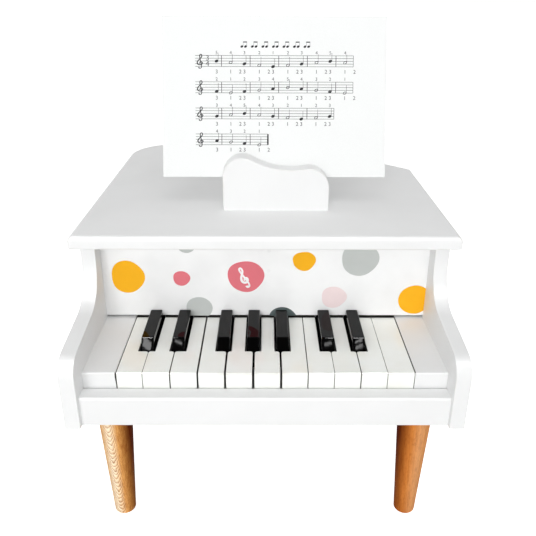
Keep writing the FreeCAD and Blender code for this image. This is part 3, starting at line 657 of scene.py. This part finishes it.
def add_spot(bm, spot, film, low, high):
    """Add a thin wobbly disc on the fascia, cut off where the fascia ends."""
    disc = bmesh.ops.create_circle(bm, cap_ends=True, segments=SPOT_SIDES, radius=0.5)["verts"]
    for vert in disc:
        way = math.atan2(vert.co.y, vert.co.x)
        swell = spot.wobble * (math.cos(3 * way - math.radians(spot.turn)) + math.cos(5 * way) / 3)
        vert.co = Vector((vert.co.x * spot.width, vert.co.y * spot.height, 0.0)) * (1.0 + swell) * MM
    bmesh.ops.transform(bm, verts=disc, matrix=board_face(spot.x * MM, low.y, spot.z * MM))
    face = disc[0].link_faces[0]
    for corner, normal in ((low, (-1, 0, 0)), (low, (0, 0, -1)), (high, (1, 0, 0)), (high, (0, 0, 1))):
        geometry = [face, *face.edges, *face.verts]
        kept = bmesh.ops.bisect_plane(bm, geom=geometry, plane_co=corner, plane_no=normal, clear_outer=True)
        face = next(item for item in kept["geom"] if isinstance(item, bmesh.types.BMFace))
    raise_faces(bm, [face], (0.0, -film, 0.0))


def on_seam(edge):
    """Whether an edge is in the joint of a side panel and the bent back panel."""
    panel = "left_side_panel" if middle_of(edge).x < 0 else "right_side_panel"
    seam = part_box(panel)[1].y
    return all(abs(vert.co.y - seam) < NEAR for vert in edge.verts)


# Blocks and white keys from bass to treble.
KEYBOARD_ROW = ["left_key_block", *sorted(WHITE_KEYS, key=lambda key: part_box(key)[0].x), "right_key_block"]
# Gaps between them: way from its even place and width of each, in millimetres.
KEY_GAPS = (
    (0.2, 0.5), (-0.6, 0.15), (-0.5, 0.57), (-0.2, 1.1), (-0.05, 1.3), (0.65, 1.65),
    (1.2, 1.4), (0.9, 0.48), (0.2, 0.13), (-0.35, 0.48), (-1.0, 0.12), (-1.1, 0.15),
)


def fit_sides(bm, piece):
    """Move the sides of a key or block to where it was fitted by hand."""
    low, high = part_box(piece)
    index = KEYBOARD_ROW.index(piece)
    for side, gap, way in ((low.x, index - 1, 1), (high.x, index, -1)):
        if not 0 <= gap < len(KEY_GAPS):
            continue
        shift, width = (value * MM for value in KEY_GAPS[gap])
        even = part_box(KEYBOARD_ROW[gap + 1])[0].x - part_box(KEYBOARD_ROW[gap])[1].x
        for vert in bm.verts:
            if abs(vert.co.x - side) < NEAR:
                vert.co.x += shift + way * (width - even) / 2


# Boards with a side that isn't painted white but near-black, as painted shade in the gap next to the keys,
# and the way that it faces.
GAP_SHADE_SIDES = {"left_key_block": 1, "right_key_block": -1}


def runs_along(edge, axis):
    """Whether an edge runs along an axis of the frame."""
    way = edge.verts[1].co - edge.verts[0].co
    return abs(getattr(way, axis)) > ALONG * way.length


class PIANO_OT_boards(bpy.types.Operator):
    """Paint the boards of the case white and round their edges"""

    bl_idname = "piano.boards"
    bl_label = "Painted Boards"

    def execute(self, context):
        paint = context.scene.piano_paint
        white = lacquer("satin_white", paint.white, paint.white_shade, 0.42, spread=0.16,
                        rubbed=paint.white_rubbed)
        # The fascia's ground is the brightened white: painted light against the shade under the lid.
        ground = lacquer("printed_ground", paint.ground, paint.white, 0.3, spread=0.12)
        for board in BOARDS:
            bm = copy_of(board)
            finishes = [ground if board == "fascia" else white]
            if board in GAP_SHADE_SIDES:
                fit_sides(bm, board)
                # The side that faces the keys takes the near-black wood: painted shade in the gap.
                finishes.append(stained_wood())
                for face in bm.faces:
                    face.material_index = int(face.normal.x * GAP_SHADE_SIDES[board] > FACING)
            low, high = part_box(board)
            top = high.z - 2 * paint.board_ease
            rounded = sharp_edges(bm, partial(self.is_rounded, board, low, high, top))
            ease(bm, rounded, paint.board_ease, segments=3)
            keep_flats_flat(add_piece(bm, f"{board}_painted", finishes, CASE, [board]))
        return {"FINISHED"}

    @staticmethod
    def is_rounded(board, low, high, top, edge, middle):
        """Whether an edge of a board shows, outside the joints with its neighbours."""
        if board in GAP_SHADE_SIDES:
            way = GAP_SHADE_SIDES[board]
            joint = low.x if way > 0 else high.x
            return middle.z > top and (middle.x - joint) * way > 0
        if board == "music_rest":
            return min(abs(middle.y - low.y), abs(middle.y - high.y)) < NEAR and middle.z > low.z + NEAR
        if board in ("fascia", "key_slip"):
            return runs_along(edge, "x")
        return board != "base_board" and not on_seam(edge)


class PIANO_OT_spots(bpy.types.Operator):
    """Print the coloured spots and the clef on the fascia"""

    bl_idname = "piano.spots"
    bl_label = "Printed Spots"

    def execute(self, context):
        paint = context.scene.piano_paint
        film = paint.spot_film
        low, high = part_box("fascia")
        for colour in sorted({spot.colour for spot in SPOTS}):
            tone = getattr(paint, colour)
            bm = bmesh.new()
            for spot in SPOTS:
                if spot.colour == colour:
                    add_spot(bm, spot, film, low, high)
            bmesh.ops.recalc_face_normals(bm, faces=bm.faces)
            ink = lacquer(f"{colour}_print", tone, dimmed(tone, 0.94), 0.5, patch_scale=60.0,
                          specular_ior_level=0.12)
            add_piece(bm, f"fascia_spots_{colour}", [ink], CASE)
        sign = bmesh.new()
        flat = Matrix.Diagonal((SIGN_GAP, SIGN_GAP, film * 2 / SIGN_STROKE, 1.0))
        place = board_face(SIGN_PLACE[0] * MM, low.y - film, SIGN_PLACE[1] * MM)
        add_stroke(sign, CLEF_STROKE, SIGN_STROKE, place @ Matrix.Rotation(SIGN_LEAN, 4, "Z") @ flat)
        # The clef prints in the brightened ground white, painted light as well.
        chalk = lacquer("white_print", paint.ground, paint.white, 0.5, patch_scale=80.0)
        add_piece(sign, "fascia_clef", [chalk], CASE)
        return {"FINISHED"}


# How near an edge of a white key, and of a black one, is to its front or top.
WHITE_REACH = 2 * MM
BLACK_REACH = 0.1 * MM


class PIANO_OT_white_keys(bpy.types.Operator):
    """Lacquer the white keys and round their edges"""

    bl_idname = "piano.white_keys"
    bl_label = "White Keys"

    def execute(self, context):
        keys = context.scene.piano_keys
        ivory = lacquer("ivory_lacquer", keys.ivory, keys.ivory_shade, 0.14, spread=0.05, patch_scale=38.0,
                        rubbed=keys.ivory_rubbed)
        wood = stained_wood()
        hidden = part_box("fascia")[0].y
        for key in WHITE_KEYS:
            low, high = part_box(key)
            bm = copy_of(key)
            fit_sides(bm, key)
            geometry = [*bm.verts, *bm.edges, *bm.faces]
            bmesh.ops.bisect_plane(bm, geom=geometry, plane_co=(0.0, hidden, 0.0), plane_no=(0.0, 1.0, 0.0))
            front = low.y + WHITE_REACH
            corners = sharp_edges(bm, lambda edge, middle: runs_along(edge, "z") and edge.is_convex
                                  and front < middle.y < hidden - MM)
            ease(bm, corners, keys.corner_ease, segments=3)
            # The sides and the part behind the fascia take the near-black wood: painted shade in the gaps
            # between keys and under the fascia.
            for face in bm.faces:
                face.material_index = int(abs(face.normal.x) > FACING or face.calc_center_median().y > hidden)
            top = high.z - WHITE_REACH
            edges = sharp_edges(bm, lambda edge, middle: middle.y < front or middle.z > top)
            ease(bm, edges, keys.white_ease, segments=2)
            keep_flats_flat(add_piece(bm, f"{key}_lacquered", [ivory, wood], key, [key]))
        return {"FINISHED"}


class PIANO_OT_black_keys(bpy.types.Operator):
    """Give the black keys their gloss and their rounded caps"""

    bl_idname = "piano.black_keys"
    bl_label = "Black Keys"

    def execute(self, context):
        keys = context.scene.piano_keys
        ebony = lacquer("ebony_gloss", keys.ebony, keys.ebony_shade, 0.03, spread=0.02, patch_scale=70.0,
                        peel=150.0, specular_ior_level=0.112)
        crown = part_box(WHITE_KEYS[0])[1].z
        for key in BLACK_KEYS:
            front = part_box(key)[0].y + BLACK_REACH
            bm = copy_of(key)
            edges = sharp_edges(bm, lambda edge, middle: middle.z > crown + BLACK_REACH
                                or middle.y < front and not runs_along(edge, "x"))
            ease(bm, edges, keys.black_ease, segments=4)
            keep_flats_flat(add_piece(bm, f"{key}_glossed", [ebony], key, [key]))
        return {"FINISHED"}


class PIANO_OT_legs(bpy.types.Operator):
    """Turn the three oak legs"""

    bl_idname = "piano.legs"
    bl_label = "Oak Legs"

    def execute(self, context):
        legs = context.scene.piano_legs
        for leg, grain in LEG_GRAIN.items():
            low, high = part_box(leg)
            centre = (low + high) / 2
            bm = bmesh.new()
            bm.faces.layers.float.new("rubbed")
            bmesh.ops.create_cone(bm, cap_ends=True, segments=legs.sides, radius1=legs.foot_diameter / 2,
                                  radius2=(high.x - low.x) / 2, depth=high.z - low.z,
                                  matrix=Matrix.Translation(centre))
            floor = low.z + MERGE_DISTANCE
            foot = [edge for edge in bm.edges if all(vert.co.z < floor for vert in edge.verts)]
            ease(bm, foot, legs.foot_round, segments=4)
            wood = oak(f"{leg}_oak", centre, grain)
            keep_flats_flat(add_piece(bm, f"{leg}_turned", [wood], CASE, [leg]))
        return {"FINISHED"}


# Tune on the card: a short note, then bars with one held note and one short note each.
STAVE_LENGTHS = (0.1476, 0.1476, 0.130, 0.068)
FIRST_NOTE = 0.0200
FIRST_BAR = 0.0246
BAR_LENGTH = 0.0267
NOTES_IN_BAR = ((0.32, True), (0.80, False))
BEATS = 3
BEAT_NOTE = 4
# The tune runs up and down the fingers; each stave begins some steps further on.
FINGERS = 5
STAVE_START = 3
# Sizes and places on a stave, in gaps between its lines.
CLEF_PEN = 0.42
CLEF_SHARE = (1.0, 0.74)
CLEF_PLACE = (1.9, -0.75)
HEAD_SHAPE = (0.72, 0.52, 1.0, 1.0)
HEAD_LEAN = math.radians(24)
HEAD_RIM = 0.22
STEM_SIDE = 0.62
STEM_HALF = 0.06
STEM_RISE = 3.0
PAIR_HALF = 0.85
PAIR_RISE = 2.3
BEAM_DEPTH = 0.5
BEAT_PLACE = 4.6
BEAT_SIZE = 2.7
FINGER_RISE = 3.0
FINGER_SIZE = 1.7
COUNT_DROP = 3.9
COUNT_SIZE = 2.0
# Sizes next to plain ones: the ornament's notes, lines between bars and the last line.
PAIR_SHARE = 0.8
BAR_BOLD = 1.5
END_BOLD = 4


def bars_of(reach):
    """Places along a stave where its bars begin."""
    return [FIRST_BAR + number * BAR_LENGTH for number in range(math.ceil((reach - FIRST_BAR) / BAR_LENGTH))]


def notes_of(reach):
    """Places along a stave of its notes, and whether each note is held."""
    places = [(bar + share * BAR_LENGTH, held) for bar in bars_of(reach) for share, held in NOTES_IN_BAR]
    return [(FIRST_NOTE, False), *(place for place in places if place[0] < reach)]


def sheet_of(low, high, lean):
    """Place of the card as a drawing that begins at its lower left corner, and its height."""
    depth, rise = high.y - low.y, high.z - low.z
    thickness = (depth * math.cos(lean) - rise * math.sin(lean)) / math.cos(2 * lean)
    height = (rise * math.cos(lean) - depth * math.sin(lean)) / math.cos(2 * lean)
    corner = Vector((low.x, low.y, low.z + thickness * math.sin(lean)))
    return Matrix.Translation(corner) @ Matrix.Rotation(math.radians(90) - lean, 4, "X"), height


def add_bar(bm, left, low, right, high):
    """Add a flat rectangle to a drawing."""
    middle = Vector(((left + right) / 2, (low + high) / 2, 0.0))
    place = Matrix.Translation(middle) @ Matrix.Diagonal((right - left, high - low, 1.0, 1.0))
    bmesh.ops.create_grid(bm, x_segments=1, y_segments=1, size=0.5, matrix=place)


def add_note(bm, x, y, gap, rise, hollow=False):
    """Add a note to a drawing: a filled or hollow head, and a stem up from its right."""
    place = Matrix.Translation((x, y, 0.0)) @ Matrix.Rotation(HEAD_LEAN, 4, "Z") @ Matrix.Diagonal(HEAD_SHAPE)
    verts = bmesh.ops.create_circle(bm, cap_ends=True, segments=HEAD_SIDES, radius=gap, matrix=place)["verts"]
    if hollow:
        face = verts[0].link_faces[0]
        bmesh.ops.inset_region(bm, faces=[face], thickness=HEAD_RIM * gap, use_boundary=True)
        bmesh.ops.delete(bm, geom=[face], context="FACES_ONLY")
    side = x + STEM_SIDE * gap
    add_bar(bm, side - STEM_HALF * gap, y, side + STEM_HALF * gap, y + rise)


def add_pair(bm, x, y, gap):
    """Add two short notes under one beam to a drawing."""
    rise = PAIR_RISE * gap
    for place in (x - PAIR_HALF * gap, x + PAIR_HALF * gap):
        add_note(bm, place, y, gap, rise)
    middle, half = x + STEM_SIDE * gap, (PAIR_HALF + STEM_HALF) * gap
    add_bar(bm, middle - half, y + rise - BEAM_DEPTH * gap, middle + half, y + rise)


class PIANO_OT_card(bpy.types.Operator):
    """Cut the card and print an ornament, staves, a made-up tune and its fingers and beats on it"""

    bl_idname = "piano.card"
    bl_label = "Card of Music"

    def execute(self, context):
        card = context.scene.piano_card
        lift = next(joint for joint in frame["joints"] if joint["name"] == "music_sheet_lift")
        place, height = sheet_of(*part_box(CARD), math.atan2(lift["axis"][1], lift["axis"][2]))
        add_piece(copy_of(CARD), "music_card", [paper_stock("card_stock", card.paper)], CARD, [CARD])
        drawing = bmesh.new()
        staves = range(len(STAVE_LENGTHS))
        middles = [height - card.top_margin - stave * card.stave_step for stave in staves]
        self.draw_ornament(drawing, card, middles[0])
        for stave, (middle, reach) in enumerate(zip(middles, STAVE_LENGTHS)):
            self.draw_stave(drawing, card, middle, reach, middle == middles[-1])
            self.draw_tune(drawing, card, middle, reach, STAVE_START * stave)
        raise_faces(drawing, drawing.faces[:], (0.0, 0.0, card.ink_film))
        bmesh.ops.recalc_face_normals(drawing, faces=drawing.faces)
        gap = card.line_gap
        flat = Matrix.Diagonal((CLEF_SHARE[0] * gap, CLEF_SHARE[1] * gap, 2 * card.ink_film / CLEF_PEN, 1.0))
        for middle in middles:
            spot = (card.left_margin + CLEF_PLACE[0] * gap, middle + CLEF_PLACE[1] * gap, 0.0)
            add_stroke(drawing, CLEF_STROKE, CLEF_PEN, Matrix.Translation(spot) @ flat)
        bmesh.ops.transform(drawing, verts=drawing.verts, matrix=place)
        add_piece(drawing, "music_print", [paper_stock("printing_ink", card.ink)], CARD)
        return {"FINISHED"}

    @staticmethod
    def draw_ornament(drawing, card, middle):
        """A row of beamed notes at the head of the page, and the beats of a bar on the first stave."""
        gap = card.line_gap
        for number in range(card.pairs):
            x = card.left_margin + card.head_middle + (number - (card.pairs - 1) / 2) * card.pair_step
            add_pair(drawing, x, middle + card.head_rise, PAIR_SHARE * gap)
        for number, side in ((BEATS, 1), (BEAT_NOTE, -1)):
            x = card.left_margin + BEAT_PLACE * gap
            add_figure(drawing, number, x, middle + side * gap, BEAT_SIZE * gap)

    @staticmethod
    def draw_stave(drawing, card, middle, reach, is_last):
        """Five lines, the lines between its bars and a bold one at the end of the tune."""
        gap, half = card.line_gap, card.line_width / 2
        left, right = card.left_margin, card.left_margin + reach
        for line in range(-2, 3):
            y = middle + line * gap
            add_bar(drawing, left, y - half, right, y + half)
        uprights = [(left + bar, BAR_BOLD * half) for bar in bars_of(reach)]
        uprights.append((right, END_BOLD * half if is_last else half))
        for x, bold in uprights:
            add_bar(drawing, x - bold, middle - 2 * gap, x + bold, middle + 2 * gap)

    @staticmethod
    def draw_tune(drawing, card, middle, reach, start):
        """Notes that step up and down the stave, with the finger above each note and its beat below."""
        gap = card.line_gap
        top = FINGERS - 1
        counts = middle - COUNT_DROP * gap
        for number, (place, held) in enumerate(notes_of(reach)):
            x = card.left_margin + place
            finger = abs((number + start) % (2 * top) - top) + 1
            y = middle + (finger - FINGERS) * gap / 2
            add_note(drawing, x, y, gap, STEM_RISE * gap, held)
            add_figure(drawing, finger, x, middle + FINGER_RISE * gap, FINGER_SIZE * gap)
            add_figure(drawing, 1 if held else BEATS, x, counts, COUNT_SIZE * gap)
            if held:
                add_figure(drawing, 2, x + BAR_LENGTH / BEATS, counts, COUNT_SIZE * gap)


# Colours inside the case.
STEEL = ((0.50, 0.50, 0.51), (0.66, 0.66, 0.67))
PINE = ((0.72, 0.52, 0.30), (0.50, 0.29, 0.12))
PLASTIC = ((0.62, 0.57, 0.45), (0.56, 0.50, 0.38))
RED_FELT = (0.36, 0.03, 0.035)


class PIANO_OT_inner_works(bpy.types.Operator):
    """Finish the rods, bars, hammers, rails and felt inside the case"""

    bl_idname = "piano.inner_works"
    bl_label = "Inner Works"

    def execute(self, context):
        finishes = {
            brushed_steel("drawn_steel", STEEL): [
                "key_pivot_rod", "hammer_pivot_rod", "tone_bars", "leg_bolts",
            ],
            pressed_felt("red_felt", RED_FELT): ["felt_strips"],
            softwood("bare_pine", *PINE): ["key_rest_rail", "tone_bar_rails", "tone_bar_clamp"],
            lacquer("hammer_plastic", *PLASTIC, 0.45, patch_scale=90.0): HAMMERS,
        }
        for material, nodes in finishes.items():
            for node in nodes:
                mesh = frame["nodes"][node].data
                mesh.materials.clear()
                mesh.materials.append(material)
        return {"FINISHED"}


# Lights: place, width and height, power, and whether they light the piano and show in its gloss.
# The panes and bars only show in gloss.
SOFTBOXES = {
    "key_light": ((-0.62, -2.25, 0.80), (0.9, 0.9), 17.2, True),
    "front_light": ((0.2, -2.0, 0.78), (0.6, 0.6), 4.2, True),
    "top_light": ((0.1, -1.1, 1.9), (1.2, 1.0), 5.6, True, False),
    "left_pane": ((-0.412, -1.3, 1.403), (0.078, 0.037), 0.20),
    "left_bar": ((-0.302, -1.3, 1.416), (0.070, 0.012), 0.048),
    "left_high_pane": ((-0.46, -0.95, 1.65), (0.25, 0.20), 40.0),
    "right_pane": ((0.219, -1.3, 1.407), (0.070, 0.015), 0.048),
    "right_bar": ((0.327, -1.3, 1.424), (0.070, 0.012), 0.055),
    "right_low_bar": ((0.327, -1.3, 1.390), (0.070, 0.014), 0.055),
    "right_high_pane": ((0.33, -0.95, 1.65), (0.26, 0.16), 28.0),
}
LIGHT_AIM = Vector((0.0, 0.0, 0.2))
# How far round straight up the room turns from dim to white in gloss.
GLOSS_FADE = 0.3


class PIANO_OT_stage(bpy.types.Operator):
    """Set up the camera, the white floor and the lights"""

    bl_idname = "piano.stage"
    bl_label = "Stage"

    def execute(self, context):
        stage = context.scene.piano_stage
        context.scene.view_settings.view_transform = "Standard"
        context.scene.world = self.white_room(stage)
        pieces = [self.floor(stage), self.camera(stage)]
        pieces += [self.softbox(name, *place) for name, place in SOFTBOXES.items()]
        for piece in pieces:
            context.scene.collection.objects.link(piece)
        context.scene.camera = pieces[1]
        return {"FINISHED"}

    @staticmethod
    def white_room(stage):
        """An even light from all round; shiny things see it white at the back and dim behind the camera."""
        world = bpy.data.worlds.new("white_room")
        tree = empty_tree(world)
        ray = add_node(tree, "LightPath").outputs
        way = add_node(tree, "SeparateXYZ", {"Vector": object_place(tree)}).outputs["Y"]
        back = ramp(tree, way, -GLOSS_FADE, GLOSS_FADE)
        shown = calc(tree, "MULTIPLY_ADD", back, 1.0 - stage.gloss_sky, stage.gloss_sky)
        change = calc(tree, "SUBTRACT", shown, stage.sky)
        light = calc(tree, "MULTIPLY_ADD", ray["Is Glossy Ray"], change, stage.sky)
        strength = calc(tree, "MAXIMUM", ray["Is Camera Ray"], light)
        sky = add_node(tree, "Background", {"Color": WHITE, "Strength": strength})
        add_node(tree, "OutputWorld", {"Surface": sky.outputs[0]})
        return world

    @staticmethod
    def floor(stage):
        """White floor that keeps a faint shadow."""
        bm = bmesh.new()
        bmesh.ops.create_grid(bm, x_segments=1, y_segments=1, size=stage.floor_size / 2)
        mesh = mesh_of(bm, "floor")
        material, tree, shader = new_material("white_floor", roughness=0.9, specular_ior_level=0.0,
                                              base_color=rgba(stage.floor_shade), emission_color=WHITE)
        seen = add_node(tree, "LightPath").outputs["Is Camera Ray"]
        glow = calc(tree, "MULTIPLY", seen, stage.floor_glow)
        tree.links.new(glow, shader.inputs["Emission Strength"])
        mesh.materials.append(material)
        return bpy.data.objects.new("floor", mesh)

    @staticmethod
    def camera(stage):
        """Camera where the photo was taken from."""
        data = bpy.data.cameras.new("camera")
        data.sensor_width = SENSOR_WIDTH
        data.lens = SENSOR_WIDTH * stage.focal_pixels / PICTURE_SIDE
        camera = bpy.data.objects.new("camera", data)
        turn = Matrix.Rotation(-stage.camera_turn, 4, "Z")
        tilt = Matrix.Rotation(math.radians(90) - stage.camera_tilt, 4, "X")
        roll = Matrix.Rotation(stage.camera_roll, 4, "Z")
        camera.matrix_world = Matrix.Translation(stage.camera_place) @ turn @ tilt @ roll
        return camera

    @staticmethod
    def softbox(name, place, sides, power, lights=False, shines=True):
        """Flat light that looks at the middle of the piano."""
        data = bpy.data.lights.new(name, "AREA")
        data.shape = "RECTANGLE"
        data.size, data.size_y = sides
        data.energy = power
        lamp = bpy.data.objects.new(name, data)
        lamp.visible_diffuse = lights
        lamp.visible_glossy = shines
        way = LIGHT_AIM - Vector(place)
        lamp.matrix_world = Matrix.Translation(place) @ way.to_track_quat("-Z", "Y").to_matrix().to_4x4()
        return lamp


class PIANO_PT_sidebar(bpy.types.Panel):
    """Buttons that build the piano and the values they use"""

    bl_idname = "PIANO_PT_sidebar"
    bl_label = "Toy Piano"
    bl_space_type = "VIEW_3D"
    bl_region_type = "UI"
    bl_category = "Toy Piano"

    def draw(self, context):
        for operator in OPERATORS:
            self.layout.operator(operator.bl_idname)
        for name, group in PROPERTY_GROUPS.items():
            values = self.layout.box()
            for value in group.__annotations__:
                values.prop(getattr(context.scene, name), value)


OPERATORS = (PIANO_OT_boards, PIANO_OT_spots, PIANO_OT_white_keys, PIANO_OT_black_keys,
             PIANO_OT_legs, PIANO_OT_card, PIANO_OT_inner_works, PIANO_OT_stage)
CLASSES = (*PROPERTY_GROUPS.values(), *OPERATORS, PIANO_PT_sidebar)


def register():
    """Add operators, panel and values to Blender."""
    for item in CLASSES:
        bpy.utils.register_class(item)
    for name, group in PROPERTY_GROUPS.items():
        setattr(bpy.types.Scene, name, PointerProperty(type=group))


def unregister():
    """Take them out again."""
    for name in PROPERTY_GROUPS:
        delattr(bpy.types.Scene, name)
    for item in reversed(CLASSES):
        bpy.utils.unregister_class(item)


def main():
    """Build the piano."""
    register()
    bpy.ops.piano.boards()
    bpy.ops.piano.spots()
    bpy.ops.piano.white_keys()
    bpy.ops.piano.black_keys()
    bpy.ops.piano.legs()
    bpy.ops.piano.card()
    bpy.ops.piano.inner_works()
    bpy.ops.piano.stage()


if __name__ == "__main__":
    main()
